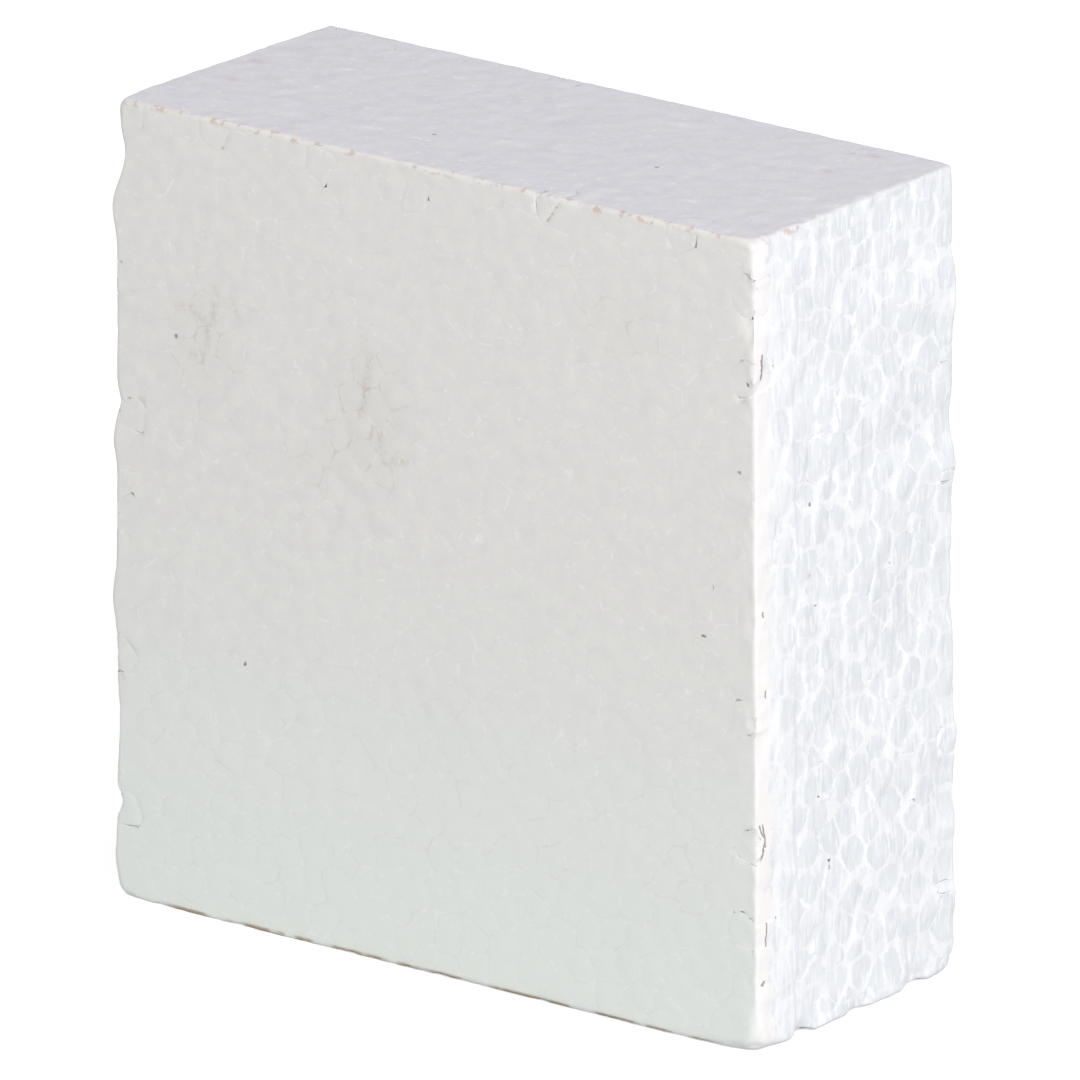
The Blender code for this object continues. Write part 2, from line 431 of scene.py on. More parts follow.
frontStains = (  # brown lines, where dirty water dried between the beads
    ((-32.9, 79.5), (-33.0, 74.9), 0.28),
    ((-38.3, 75.7), (-36.3, 76.0), 0.34),
    ((-36.3, 76.0), (-33.9, 74.0), 0.32),
    ((-33.9, 74.0), (-34.4, 70.8), 0.34),
    ((-34.4, 70.8), (-36.6, 70.2), 0.36),
    ((-30.6, 77.8), (-28.9, 75.6), 0.28),
    ((-9.3, 74.9), (-10.8, 67.4), 0.42),
    ((-8.1, 66.8), (-7.3, 62.7), 0.34),
    ((-7.2, 62.5), (-4.2, 63.2), 0.38),
)
stains = (  # on the front: middle, half width and half height in mm, and strength
    (-34.6, 72.0, 5.5, 8.0, 0.9),
    (-10.2, 68.0, 6.5, 8.5, 1.0),
    (28.5, 86.5, 7.0, 4.5, 0.7),
    (-16.0, 60.5, 8.0, 4.0, 0.5),
)


def onFront(x, z):
    return (x * mm, 0.0, z * mm)


def onSide(behind, z):
    return (0.0, behind * mm - block["depth"] / 2, z * mm)


def onTop(x, behind):
    return (x * mm, behind * mm - block["depth"] / 2, 0.0)


def drawn(points, kept, marks, place):
    # nearness to a face's marks, each a bell about the line from end to end, in the two
    # lengths that are kept
    total = np.zeros(len(points))
    for start, end, width in marks:
        first, last = np.array(place(*start)), np.array(place(*end))
        away = points * kept - first
        along = last - first
        share = np.clip(away @ along / (along @ along), 0, 1)
        distance = np.linalg.norm(away - share[:, None] * along, axis=1)
        total = np.maximum(total, bell(distance, width * mm))
    return total


def markValues(points, normal, nearest, walls):
    # what the materials read: distances to the seam and to the corner of the seams, in
    # mm, the seam's own random value and how upright it runs, the bead's tone, the kind
    # of face, and the stains, red marks and flecks
    side, front, level = (normal**2).T
    stain = np.zeros(len(points))
    for x, z, halfWidth, halfHeight, strength in stains:
        across = (points[:, 0] / mm - x) / halfWidth
        along = (points[:, 2] / mm - z) / halfHeight
        stain += strength * np.exp(-((across**2 + along**2) ** 1.5))
    onlyFront = front * (normal[:, 1] < 0)
    onlyTop = level * (normal[:, 2] > 0)
    gap = beadCentres[nearest[:, 1]] - beadCentres[nearest[:, 0]]
    fleck = onlyFront * drawn(points, (1, 0, 1), frontFlecks, onFront)
    fleck += onlyTop * drawn(points, (1, 1, 0), topFlecks, onTop)
    return {
        "wall": walls[:, 0] / mm,
        "corner": walls[:, 1] / mm,
        "strong": pairRandom(nearest),
        "upright": np.abs(gap[:, 1]) / np.maximum(np.linalg.norm(gap[:, 1:], axis=1), 1e-9),
        "tone": 0.5 + 0.5 * beadTones[nearest[:, 0], 4],
        "sawnShare": side,
        "topShare": level,
        "stain": stain * onlyFront,
        "stainLine": onlyFront * drawn(points, (1, 0, 1), frontStains, onFront),
        "redness": onlyTop * drawn(points, (1, 1, 0), topRedMarks, onTop),
        "fleck": fleck,
    }


def setMesh(name, points, quads, triangles, values, sharpAngle):
    # the arrays go straight into the mesh: first the quads, then the triangles
    mesh = bpy.data.meshes.new(name)
    corners = np.concatenate([quads.ravel(), triangles.ravel()]).astype(np.int32)
    afterQuads = 4 * len(quads) + 3 * np.arange(len(triangles))
    starts = np.concatenate([4 * np.arange(len(quads)), afterQuads])
    mesh.vertices.add(len(points))
    mesh.vertices.foreach_set("co", points.astype(np.float32).ravel())
    mesh.loops.add(len(corners))
    mesh.loops.foreach_set("vertex_index", corners)
    mesh.polygons.add(len(starts))
    mesh.polygons.foreach_set("loop_start", starts.astype(np.int32))
    mesh.update(calc_edges=True)
    mesh.validate()
    mesh.shade_smooth()
    mesh.set_sharp_from_angle(angle=np.radians(sharpAngle))
    for key, value in values.items():
        attribute = mesh.attributes.new(key, "FLOAT", "POINT")
        attribute.data.foreach_set("value", value.astype(np.float32))
    made = bpy.data.objects.new(name, mesh)
    bpy.context.scene.collection.objects.link(made)
    return made


separate = {
    "gap": 0.01 * mm,
    "rimInset": 0.999,
    "turns": 72,
    "capRings": 14,
    "wallRings": 10,
    "roundness": 20,  # the higher, the sharper the edges between a bead's flats
    "fade": 0.25,  # how fast the skin's relief dies away behind the rim, in radians
    "lean": 1.2 * mm,  # a bead this deep leans to a face e times less than one on it
    "widest": 0.85,  # of half a turn, the farthest the rim lies from the axis
    "farthest": 12 * mm,  # where the search for the skin ends
    "halvings": 16,
    "sharpAngle": 38,
}


def beadWalls(index):
    # the planes halfway to the neighbours: unit normals and distances from the centre
    offsets = beadCentres - beadCentres[index]
    length = np.linalg.norm(offsets, axis=1)
    near = (length > 0) & (length < packing["neighbourReach"] * packing["pitch"])
    return offsets[near] / length[near, None], length[near] / 2


def wallDistance(directions, walls):
    # how far the bead's wall is from its centre in each direction: the least of
    # half / cos over its planes, as a power mean so that its edges are rounded
    normals, halves = walls
    facing = np.maximum(directions @ normals.T, 1e-6) / halves
    return (facing ** separate["roundness"]).sum(axis=1) ** (-1 / separate["roundness"])


def skinDistance(centre, directions):
    # how far the skin is from the bead's centre in each direction: halves the stretch
    # that holds it until it is found
    near = np.zeros(len(directions))
    far = np.full(len(directions), separate["farthest"])
    for _ in range(separate["halvings"]):
        middle = (near + far) / 2
        outside = aboveSkin(centre + middle[:, None] * directions)[0] > 0
        far = np.where(outside, middle, far)
        near = np.where(outside, near, middle)
    return (near + far) / 2


def beadAxes(centre):
    # the axis points out of the block from the bead; near an edge it leans to both faces
    fromMiddle = centre - blockMiddle
    under = np.maximum(blockSize / 2 - np.abs(fromMiddle), 0)
    axis = np.sign(fromMiddle) * np.exp(-under / separate["lean"])
    axis /= np.linalg.norm(axis)
    upright = abs(axis[2]) >= 0.8
    helper = np.array([1.0, 0.0, 0.0]) if upright else np.array([0.0, 0.0, 1.0])
    across = np.cross(helper, axis)
    across /= np.linalg.norm(across)
    return across, np.cross(axis, across), axis


def pointing(axes, turn, tilt):
    # the unit direction tilted from the axis and turned about it
    across, along, axis = axes
    ring = np.cos(turn)[:, None] * across + np.sin(turn)[:, None] * along
    return np.sin(tilt)[:, None] * ring + np.cos(tilt)[:, None] * axis


def findRim(centre, axes, walls):
    # for each turn, the tilt at which the skin and the bead's wall meet
    turn = np.linspace(-np.pi, np.pi, separate["turns"], endpoint=False)
    low = np.zeros(len(turn))
    high = np.full(len(turn), separate["widest"] * np.pi)
    for _ in range(separate["halvings"]):
        middle = (low + high) / 2
        direction = pointing(axes, turn, middle)
        pastRim = wallDistance(direction, walls) < skinDistance(centre, direction)
        high = np.where(pastRim, middle, high)
        low = np.where(pastRim, low, middle)
    return turn, (low + high) / 2


def makeSeparateBead(name, index):
    # a surface over turn and tilt about the bead's centre: from the axis to the rim it
    # follows the block's skin, from the rim to the far pole the bead's own walls
    centre = beadCentres[index]
    axes = beadAxes(centre)
    walls = beadWalls(index)
    turn, rim = findRim(centre, axes, walls)
    sockets[index] = (centre, axes, walls, turn, rim)
    inset = rim * separate["rimInset"]
    capShare = np.linspace(0, 1, separate["capRings"] + 1)[1:, None]
    wallShare = np.linspace(0, 1, separate["wallRings"] + 2)[1:-1, None]
    rings = np.concatenate([capShare * inset, inset + wallShare * (np.pi - inset)])
    tilts = np.concatenate([[0.0], rings.ravel(), [np.pi]])
    turns = np.concatenate([[0.0], np.broadcast_to(turn, rings.shape).ravel(), [0.0]])
    isCap = np.arange(len(tilts)) <= separate["capRings"] * len(turn)
    direction = pointing(axes, turns, tilts)
    toSkin = skinDistance(centre, direction)
    toWall = wallDistance(direction, walls) - separate["gap"]
    flat = centre + np.where(isCap, toSkin, toWall)[:, None] * direction
    normal = aboveSkin(centre + toSkin[:, None] * direction)[1]
    nearest, seams = nearestBeads(flat)
    past = tilts - np.interp(turns, turn, inset, period=2 * np.pi)
    fade = np.where(isCap, 1.0, np.exp(-np.maximum(past, 0) / separate["fade"]))
    height = relief(flat, normal, nearest, seams) * fade
    points = flat + normal * height[:, None]
    ring = np.arange(rings.size).reshape(rings.shape) + 1
    after = np.roll(ring, -1, axis=1)
    quads = np.stack([ring[:-1], ring[1:], after[1:], after[:-1]], axis=-1).reshape(-1, 4)
    first, last = np.zeros(len(turn), int), np.full(len(turn), len(points) - 1)
    poles = [
        np.stack([first, ring[0], after[0]], axis=-1),
        np.stack([last, after[-1], ring[-1]], axis=-1),
    ]
    values = markValues(flat, normal, nearest, seams)
    return setMesh(name, points, quads, np.concatenate(poles), values, separate["sharpAngle"])


def gridLines(size):
    # even lines across a face, with lines twice as close beside its edges
    step = block["gridStep"]
    margin = block["edgeMargin"]
    edge = np.linspace(0, margin, int(round(2 * margin / step)), endpoint=False)
    middle = np.linspace(margin, size - margin, int(round((size - 2 * margin) / step)) + 1)
    return np.concatenate([edge, middle, size - edge[::-1]]) - size / 2


def gridOnBox(lines):
    # the lattice points on the outside of a box, welded along its edges, and the quads
    # between them, facing out
    quads = []
    for axis in range(3):
        first, second = [a for a in range(3) if a != axis]
        for end in (0, len(lines[axis]) - 1):
            u, v = np.indices((len(lines[first]), len(lines[second])))
            lattice = np.zeros(u.shape + (3,), np.int64)
            lattice[..., first] = u
            lattice[..., second] = v
            lattice[..., axis] = end
            key = (lattice[..., 0] * 10000 + lattice[..., 1]) * 10000 + lattice[..., 2]
            quad = np.stack([key[:-1, :-1], key[1:, :-1], key[1:, 1:], key[:-1, 1:]], axis=-1)
            quad = quad.reshape(-1, 4)
            quads.append(quad[:, ::-1] if (end == 0) != (axis == 1) else quad)
    unique, quads = np.unique(np.concatenate(quads), return_inverse=True)
    number = (unique // 10**8, unique // 10**4 % 10**4, unique % 10**4)
    points = np.stack([lines[axis][number[axis]] for axis in range(3)], axis=-1)
    return points, quads.reshape(-1, 4)


def aroundSocket(flat, socket):
    # the grid points near a separate bead: which they are, their turn and tilt about it,
    # the rim's tilt at that turn, and how far they lie from the rim along the skin
    centre, axes, walls, turn, rim = socket
    across, along, axis = axes
    away = flat - centre
    length = np.linalg.norm(away, axis=1)
    near = np.flatnonzero(length < packing["pitch"])
    away, length = away[near], length[near]
    tilt = np.arccos(np.clip(away @ axis / length, -1, 1))
    turns = np.arctan2(away @ along, away @ across)
    edge = np.interp(turns, turn, rim, period=2 * np.pi)
    rimDirection = pointing(axes, turns, edge)
    rimPoint = centre + wallDistance(rimDirection, walls)[:, None] * rimDirection
    return near, turns, tilt, edge, rimPoint


def snapToRims(flat, state):
    # grid points close to a socket's rim move onto it (state 1), and those further
    # inside it will be sunk (state 2)
    for socket in sockets.values():
        near, _, tilt, edge, rimPoint = aroundSocket(flat, socket)
        toRim = np.linalg.norm(flat[near] - rimPoint, axis=1)
        onRim = toRim < block["rimSnap"] * block["gridStep"]
        state[near[(tilt < edge) & ~onRim]] = 2
        state[near[onRim]] = 1
        flat[near[onRim]] = rimPoint[onRim]


seamSnap = {
    "wideFrom": 1.8 * mm,  # from the edges; nearer them the grid is close
    "shares": (0.49, 0.24),  # of a step that a point may slide, away from the edges and near
    "leastSlope": 0.3,  # a seam that lies flatter under the skin has no clear place
    "flat": 0.999,  # the least square of the normal's main part
}


def snapToSeams(flat, normal, state):
    # on the flat of a face, the grid point nearest each seam slides along the face onto
    # it, so that the seams are drawn sharply; gives the points that moved
    nearest, walls = nearestBeads(flat)
    across = beadCentres[nearest[:, 1]] - beadCentres[nearest[:, 0]]
    across /= np.linalg.norm(across, axis=1, keepdims=True)
    across -= (across * normal).sum(axis=1, keepdims=True) * normal
    slope = np.linalg.norm(across, axis=1)
    across /= np.maximum(slope, 1e-6)[:, None]
    slide = walls[:, 0] / np.maximum(slope, 1e-6)
    step = block["gridStep"] * np.where(toEdge(flat) > seamSnap["wideFrom"], *seamSnap["shares"])
    moves = slide < step * np.abs(across).max(axis=1)
    moves &= (slope > seamSnap["leastSlope"]) & (state == 0)
    moves &= (normal**2).max(axis=1) > seamSnap["flat"]
    moves &= ~np.isin(nearest[:, :2], list(sockets)).any(axis=1)
    flat[moves] += (across * slide[:, None])[moves]
    return moves


def sinkSockets(points, flat, state):
    # inside a rim the skin is turned inside out: a point at a share of the way from the
    # bead's axis to the rim goes to the same share of the way from the far pole back to
    # the rim, on the bead's wall
    for socket in sockets.values():
        centre, axes, walls = socket[:3]
        near, turns, tilt, edge, _ = aroundSocket(flat, socket)
        sunk = (tilt < edge) & (state[near] == 2)
        near, turns, tilt, edge = near[sunk], turns[sunk], tilt[sunk], edge[sunk]
        turned = np.pi - (np.pi - edge) * tilt / edge
        direction = pointing(axes, turns, turned)
        fade = np.exp(-(turned - edge) / separate["fade"])[:, None]
        drop = (points[near] - flat[near]) * fade
        points[near] = centre + wallDistance(direction, walls)[:, None] * direction + drop


def makeBlock(name):
    # the block's skin: a grid on a sharp box, rounded over, tapered, then raised along
    # its normals by the relief, with the separate beads' sockets sunk into it; a quad is
    # split along the rim or the seam that crosses it
    sharp, quads = gridOnBox([gridLines(size) for size in blockSize])
    flat, normal = roundedOver(sharp)
    flat[:, 0] *= taper(flat)
    flat += blockMiddle
    flat[:, 0] += standingOut(flat)
    state = np.zeros(len(flat), np.int8)
    snapToRims(flat, state)
    onSeam = snapToSeams(flat, normal, state)
    nearest, walls = nearestBeads(flat)
    points = flat + normal * relief(flat, normal, nearest, walls)[:, None]
    values = markValues(flat, normal, nearest, walls)
    sinkSockets(points, flat, state)
    states = state[quads]
    crossed = (states.min(axis=1) == 0) & (states.max(axis=1) == 2) & (states[:, 0] != 1)
    moved = onSeam[quads]
    crossed |= moved[:, 1] & moved[:, 3] & ~moved[:, 0] & ~moved[:, 2]
    quads[crossed] = np.roll(quads[crossed], 1, axis=1)
    return setMesh(name, points, quads, np.empty((0, 3), int), values, block["sharpAngle"])


foamLooks = {
    "skinDull": (0.775, 0.764, 0.745),
    "skinClean": (0.820, 0.814, 0.774),
    # painted shade in the creases of the front's outlines
    "skinSeamPaintedShade": (0.745, 0.742, 0.715),
    # light nicks on the front, and painted highlight along its outlines
    "skinFleckAndSeamHighlight": (0.900, 0.900, 0.885),
    "lowSkin": (0.802, 0.838, 0.794),
    "sawnDull": (0.792, 0.818, 0.846),
    "sawnClean": (0.860, 0.880, 0.905),
    "sawnShade": (0.735, 0.772, 0.808),
    "sawnWall": (0.960, 0.965, 0.975),
    "rind": (0.975, 0.935, 0.925),
    "topDull": (0.762, 0.750, 0.794),
    "topClean": (0.842, 0.828, 0.868),
    "topFleck": (0.935, 0.935, 0.950),
    "stain": (0.52, 0.41, 0.29),
    "grime": (0.36, 0.25, 0.15),
    "mark": (0.16, 0.11, 0.13),
    "redMark": (0.62, 0.47, 0.45),
    "crumb": (0.86, 0.82, 0.76),
    "rubbed": (0.60, 0.44, 0.34),
    "blockRoughness": 0.62,
    "beadRoughness": 0.66,
    "roughnessSpread": (0.25, -0.12),  # times the mottle, then added
    "specular": 0.35,
    "bump": 0.35,
    "bumpHeight": 0.03 * mm,
    "cellSize": 0.17 * mm,
    "mottleSize": 0.5 * mm,
    "mottleHeight": 1.6,
    "topMottle": (0.40, 0.62),
    "dirtMottle": (0.30, 0.62),
    "crumbShown": (0.45, 0.15),  # times the grime's patches, then added
    "markCore": 0.4,  # the share of a mark's width that is full
    "cloudSize": 2.2 * mm,
    "cloudContrast": (2.0, -0.5),  # times the cloud, then added
    "wander": 0.8 * mm,  # how far a fibre strays from its line
    "wanderSize": 1.1 * mm,
}
strengths = {
    # the first two: painted shade and painted highlight along the front's outlines
    "paintedSeamShade": 0.5, "paintedSeamHighlights": 0.46, "nicks": 0.60,
    "shade": 0.70, "torn": 0.70, "pressed": 0.85, "split": 0.55, "rind": 0.85,
    "mottle": 0.40, "topFlecks": 0.70, "clinging": 0.30, "haze": 0.05, "lowLine": 0.85,
    "rubbed": 0.60, "Stain Line": 0.42, "Redness": 0.60, "Fleck": 1.0,
    "frontMarks": 0.75, "sideMarks": 0.70, "topMarks": 0.60,
}
patchSizes = {  # patches of noise: its size, where they start and are full, its detail
    # where the front's outlines take painted highlight; elsewhere they take painted shade
    "paintedSeamHighlights": (1.7 * mm, 0.54, 0.64, 2.0),
    "shownSeams": (5.0 * mm, 0.36, 0.62, 2.0),
    "nicks": (0.7 * mm, 0.62, 0.74, 3.0),
    "blobs": (3.0 * mm, 0.45, 0.60, 2.0),
    "shade": (1.0 * mm, 0.50, 0.66, 3.0),
    "torn": (0.6 * mm, 0.50, 0.64, 3.0),
    "cover": (1.7 * mm, 0.38, 0.58, 3.0),
    "pressed": (1.5 * mm, 0.38, 0.60, 3.0),
    "topFlecks": (0.8 * mm, 0.60, 0.70, 3.0),
    "clinging": (1.8 * mm, 0.42, 0.62, 3.0),
    "grime": (5.0 * mm, 0.38, 0.55, 3.0),
    "rubbed": (1.3 * mm, 0.52, 0.66, 3.0),
}
bands = {  # where each band starts and where it is full, in mm
    "lowSkin": (58.0, 5.0),
    "pressed": (11.0, 2.0),  # behind the front, as are the next two
    "rind": (4.6, 0.6),
    "split": (0.40, 0.12),  # either side of the line between two sheets of beads
    "lowLineReach": (44.0, 38.0),
    "lowLineHeight": (0.8, 0.35),
    "lowLineFront": (-18.8, -19.2),
    "rimHeight": (99.1, 99.6),
    "rimFront": (-18.9, -19.3),
    "rightRimHeight": (98.9, 99.5),
    "rightRimSide": (46.2, 47.0),
    "rightRimFront": (0.0, -9.0),
}
sawnLook = {
    "stretch": (1.0, 1.0, 0.22),  # the saw tears in upright streaks
    "upright": (0.25, 0.9),
    "uprightShown": (0.45, 0.30),  # times how upright a wall runs, then added
    "coverShown": 0.35,
    "splitSize": 2.5 * mm,
    "splitPlace": (2.6 * mm, 6.6 * mm),  # times noise, then added: its place behind the front
    "rindCloud": 1.6,
    "rindEdge": (1.1, 1.5),
}
seamLooks = {  # in mm
    "outline": {"Width": 0.11, "Wobble": 0.16, "Blob": 0.0},
    "wall": {"Width": 0.15, "Wobble": 0.55, "Blob": 0.85},
    "wobbleSizes": (1.1 * mm, 0.4 * mm),
    "corner": (1.1, 0.1),
    "strongWidth": (1.2, 0.4),  # times the seam's own value, then added
    "softness": (1.35, 0.55),
}
vertexValues = {  # the group's inputs and the vertex attributes that feed them
    "Wall": "wall", "Corner": "corner", "Strong": "strong", "Upright": "upright",
    "Tone": "tone", "Sawn Share": "sawnShare", "Top Share": "topShare", "Stain": "stain",
    "Stain Line": "stainLine", "Redness": "redness", "Fleck": "fleck",
}


def addNode(tree, kind, **settings):
    node = tree.nodes.new(kind)
    for key, value in settings.items():
        setattr(node, key, value)
    return node


def feed(tree, socket, value):
    # links a socket, or sets a plain value on it
    if isinstance(value, bpy.types.NodeSocket):
        tree.links.new(value, socket)
    elif isinstance(value, tuple) and socket.type == "RGBA":
        socket.default_value = (*value, 1.0)
    elif value is not None:
        socket.default_value = value


def feedAll(tree, sockets, values):
    for socket, value in zip(sockets, values):
        feed(tree, socket, value)


def maths(tree, operation, *values, clamp=False):
    node = addNode(tree, "ShaderNodeMath", operation=operation, use_clamp=clamp)
    feedAll(tree, node.inputs, values)
    return node.outputs[0]


def product(tree, total, *values):
    for value in values:
        total = maths(tree, "MULTIPLY", total, value)
    return total


def vectorMaths(tree, operation, *values):
    node = addNode(tree, "ShaderNodeVectorMath", operation=operation)
    feedAll(tree, node.inputs, values)
    return node.outputs["Value"] if operation in ("DOT_PRODUCT", "LENGTH") else node.outputs[0]


def between(tree, value, low, high):
    # 0 at low, 1 at high, with a smooth step between; low may be the larger
    node = addNode(tree, "ShaderNodeMapRange", interpolation_type="SMOOTHSTEP")
    feedAll(tree, node.inputs, (value, low, high, 0.0, 1.0))
    return node.outputs[0]


def band(tree, length, name):
    start, full = bands[name]
    return between(tree, length, start * mm, full * mm)


def mixColours(tree, amount, first, second):
    node = addNode(tree, "ShaderNodeMix", data_type="RGBA")
    feedAll(tree, (node.inputs[0], node.inputs[6], node.inputs[7]), (amount, first, second))
    return node.outputs[2]


def tint(tree, colour, look, *masks):
    # lays one of the looks over a colour, as strongly as the product of the masks
    return mixColours(tree, product(tree, *masks), colour, foamLooks[look])


def noise(tree, vector, size, detail=2.0, output=0):
    node = addNode(tree, "ShaderNodeTexNoise")
    feed(tree, node.inputs["Vector"], vector)
    feed(tree, node.inputs["Scale"], 1 / size)
    feed(tree, node.inputs["Detail"], detail)
    return node.outputs[output]


def patches(tree, vector, name):
    size, low, high, detail = patchSizes[name]
    return between(tree, noise(tree, vector, size, detail), low, high)


def newGroup(name, inputs, outputs):
    group = bpy.data.node_groups.new(name, "ShaderNodeTree")
    kinds = {"vector": "NodeSocketVector", "value": "NodeSocketFloat", "colour": "NodeSocketColor"}
    for way, sockets in (("INPUT", inputs), ("OUTPUT", outputs)):
        for socket, kind in sockets.items():
            group.interface.new_socket(name=socket, in_out=way, socket_type=kinds[kind])
    given = addNode(group, "NodeGroupInput").outputs
    return group, given, addNode(group, "NodeGroupOutput").inputs


def placeGroup(tree, group, values):
    node = addNode(tree, "ShaderNodeGroup", node_tree=group)
    for name, value in values.items():
        feed(tree, node.inputs[name], value)
    return node.outputs


def makeGrainGroup():
    # the closed cells inside a bead, far smaller than the bead: fine bumps and mottling
    group, given, gives = newGroup(
        "foamCellGrain",
        {"Vector": "vector", "Cell Size": "value"},
        {"Mottle": "value", "Cloud": "value", "Height": "value"},
    )
    place = given["Vector"]
    cells = addNode(group, "ShaderNodeTexVoronoi", feature="SMOOTH_F1")
    feed(group, cells.inputs["Vector"], place)
    feed(group, cells.inputs["Scale"], maths(group, "DIVIDE", 1.0, given["Cell Size"]))
    fine = noise(group, place, foamLooks["mottleSize"], 3.0)
    depth = cells.outputs["Distance"]
    height = maths(group, "MULTIPLY_ADD", fine, foamLooks["mottleHeight"], depth)
    feed(group, gives["Height"], height)
    feed(group, gives["Mottle"], fine)
    feed(group, gives["Cloud"], noise(group, place, foamLooks["cloudSize"], 3.0))
    return group


def makeSeamGroup():
    # a mask along the seams: the distance to the seam, made uneven, is held against a
    # width that differs from seam to seam and swells into blobs where seams meet
    group, given, gives = newGroup(
        "beadSeam",
        {"Vector": "vector", "Wall": "value", "Corner": "value", "Strong": "value",
         "Width": "value", "Wobble": "value", "Blob": "value"},
        {"Mask": "value"},
    )
    place = given["Vector"]
    coarse, fine = (
        maths(group, "SUBTRACT", noise(group, place, size), 0.5)
        for size in seamLooks["wobbleSizes"]
    )
    uneven = product(group, maths(group, "ADD", coarse, fine), given["Wobble"])
    distance = maths(group, "ADD", given["Wall"], uneven)
    meeting = between(group, given["Corner"], *seamLooks["corner"])
    blob = product(group, meeting, given["Blob"], patches(group, place, "blobs"))
    own = maths(group, "MULTIPLY_ADD", given["Strong"], *seamLooks["strongWidth"])
    width = maths(group, "ADD", product(group, given["Width"], own), blob)
    outer, inner = (product(group, width, share) for share in seamLooks["softness"])
    feed(group, gives["Mask"], between(group, distance, outer, inner))
    return group


def makeMarkGroup():
    # a thin mark from one point to another: distance to the segment, held against a width
    group, given, gives = newGroup(
        "fibreMark",
        {"Vector": "vector", "From": "vector", "To": "vector", "Width": "value",
         "Before": "value"},
        {"Mask": "value"},
    )
    along = vectorMaths(group, "SUBTRACT", given["To"], given["From"])
    away = vectorMaths(group, "SUBTRACT", given["Vector"], given["From"])
    squared = vectorMaths(group, "DOT_PRODUCT", along, along)
    reached = vectorMaths(group, "DOT_PRODUCT", away, along)
    share = maths(group, "DIVIDE", reached, squared, clamp=True)
    scaled = addNode(group, "ShaderNodeVectorMath", operation="SCALE")
    feed(group, scaled.inputs[0], along)
    feed(group, scaled.inputs["Scale"], share)
    offLine = vectorMaths(group, "SUBTRACT", away, scaled.outputs[0])
    full = product(group, given["Width"], foamLooks["markCore"])
    mask = between(group, vectorMaths(group, "LENGTH", offLine), given["Width"], full)
    feed(group, gives["Mask"], maths(group, "MAXIMUM", mask, given["Before"]))
    return group


print("materials")
grainGroup = makeGrainGroup()
seamGroup = makeSeamGroup()
markGroup = makeMarkGroup()


def drawMarks(tree, flattened, marks, place):
    # the marks of one face, laid over one another; place turns the two lengths of an end
    # into a point on the flattened face
    mask = 0.0
    for start, end, width in marks:
        values = {"Vector": flattened, "From": place(*start), "To": place(*end),
                  "Width": width * mm, "Before": mask}
        mask = placeGroup(tree, markGroup, values)["Mask"]
    return mask


def skinColour(tree, place, z, tone, outlineMask):
    # the moulded skin: faint outlines, some dark with painted shade in their creases and some
    # light with painted highlight, and small nicks
    # light marks where an outline takes painted highlight; where it is low, the outline takes
    # painted shade
    light = patches(tree, place, "paintedSeamHighlights")
    skin = tint(tree, foamLooks["skinDull"], "skinClean", tone)
    skin = tint(tree, skin, "lowSkin", band(tree, z, "lowSkin"))
    shown = product(tree, outlineMask, patches(tree, place, "shownSeams"))
    unlit = maths(tree, "SUBTRACT", strengths["paintedSeamShade"], light)
    # painted shade in the creases of the outlines, where they are not lit
    skin = tint(tree, skin, "skinSeamPaintedShade", maths(tree, "MULTIPLY", shown, unlit, clamp=True))
    # painted highlight along the outlines
    skin = tint(tree, skin, "skinFleckAndSeamHighlight", outlineMask, light, strengths["paintedSeamHighlights"])
    return tint(tree, skin, "skinFleckAndSeamHighlight", patches(tree, place, "nicks"), strengths["nicks"])


def sawnColour(tree, place, y, given, beadTone, cloud, wallMask):
    # the sawn sides: opened beads, torn in upright streaks, between pale walls that come
    # and go and are brightest where they run upright; towards the front they are pressed
    # paler, with a line between two sheets of beads and a pinkish rind
    streaky = vectorMaths(tree, "MULTIPLY", place, sawnLook["stretch"])
    sawn = tint(tree, foamLooks["sawnDull"], "sawnClean", beadTone)
    sawn = tint(tree, sawn, "sawnShade", patches(tree, streaky, "shade"), strengths["shade"])
    sawn = tint(tree, sawn, "sawnWall", patches(tree, streaky, "torn"), strengths["torn"])
    upright = between(tree, given["Upright"], *sawnLook["upright"])
    runs = maths(tree, "MULTIPLY_ADD", upright, *sawnLook["uprightShown"])
    cover = patches(tree, streaky, "cover")
    runs = maths(tree, "MULTIPLY_ADD", cover, sawnLook["coverShown"], runs)
    sawn = tint(tree, sawn, "sawnWall", wallMask, runs)
    behind = maths(tree, "ADD", y, block["depth"] / 2)
    streaks = patches(tree, streaky, "pressed")
    pressed = band(tree, behind, "pressed")
    sawn = tint(tree, sawn, "sawnWall", pressed, streaks, strengths["pressed"])
    wander = noise(tree, streaky, sawnLook["splitSize"])
    wander = maths(tree, "MULTIPLY_ADD", wander, *sawnLook["splitPlace"])
    offLine = maths(tree, "ABSOLUTE", maths(tree, "SUBTRACT", behind, wander))
    sawn = tint(tree, sawn, "sawnShade", band(tree, offLine, "split"), strengths["split"])
    front = band(tree, behind, "rind")
    rind = maths(tree, "MULTIPLY_ADD", cloud, sawnLook["rindCloud"], front)
    rind = between(tree, rind, *sawnLook["rindEdge"])
    return tint(tree, sawn, "rind", rind, strengths["rind"])


def topColour(tree, place, tone, mottle):
    # the top and the base: fine and dull, with a few light flecks
    top = tint(tree, foamLooks["topDull"], "topClean", tone)
    fine = between(tree, mottle, *foamLooks["topMottle"])
    top = tint(tree, top, "topClean", fine, strengths["mottle"])
    flecks = patches(tree, place, "topFlecks")
    return tint(tree, top, "topFleck", flecks, strengths["topFlecks"])


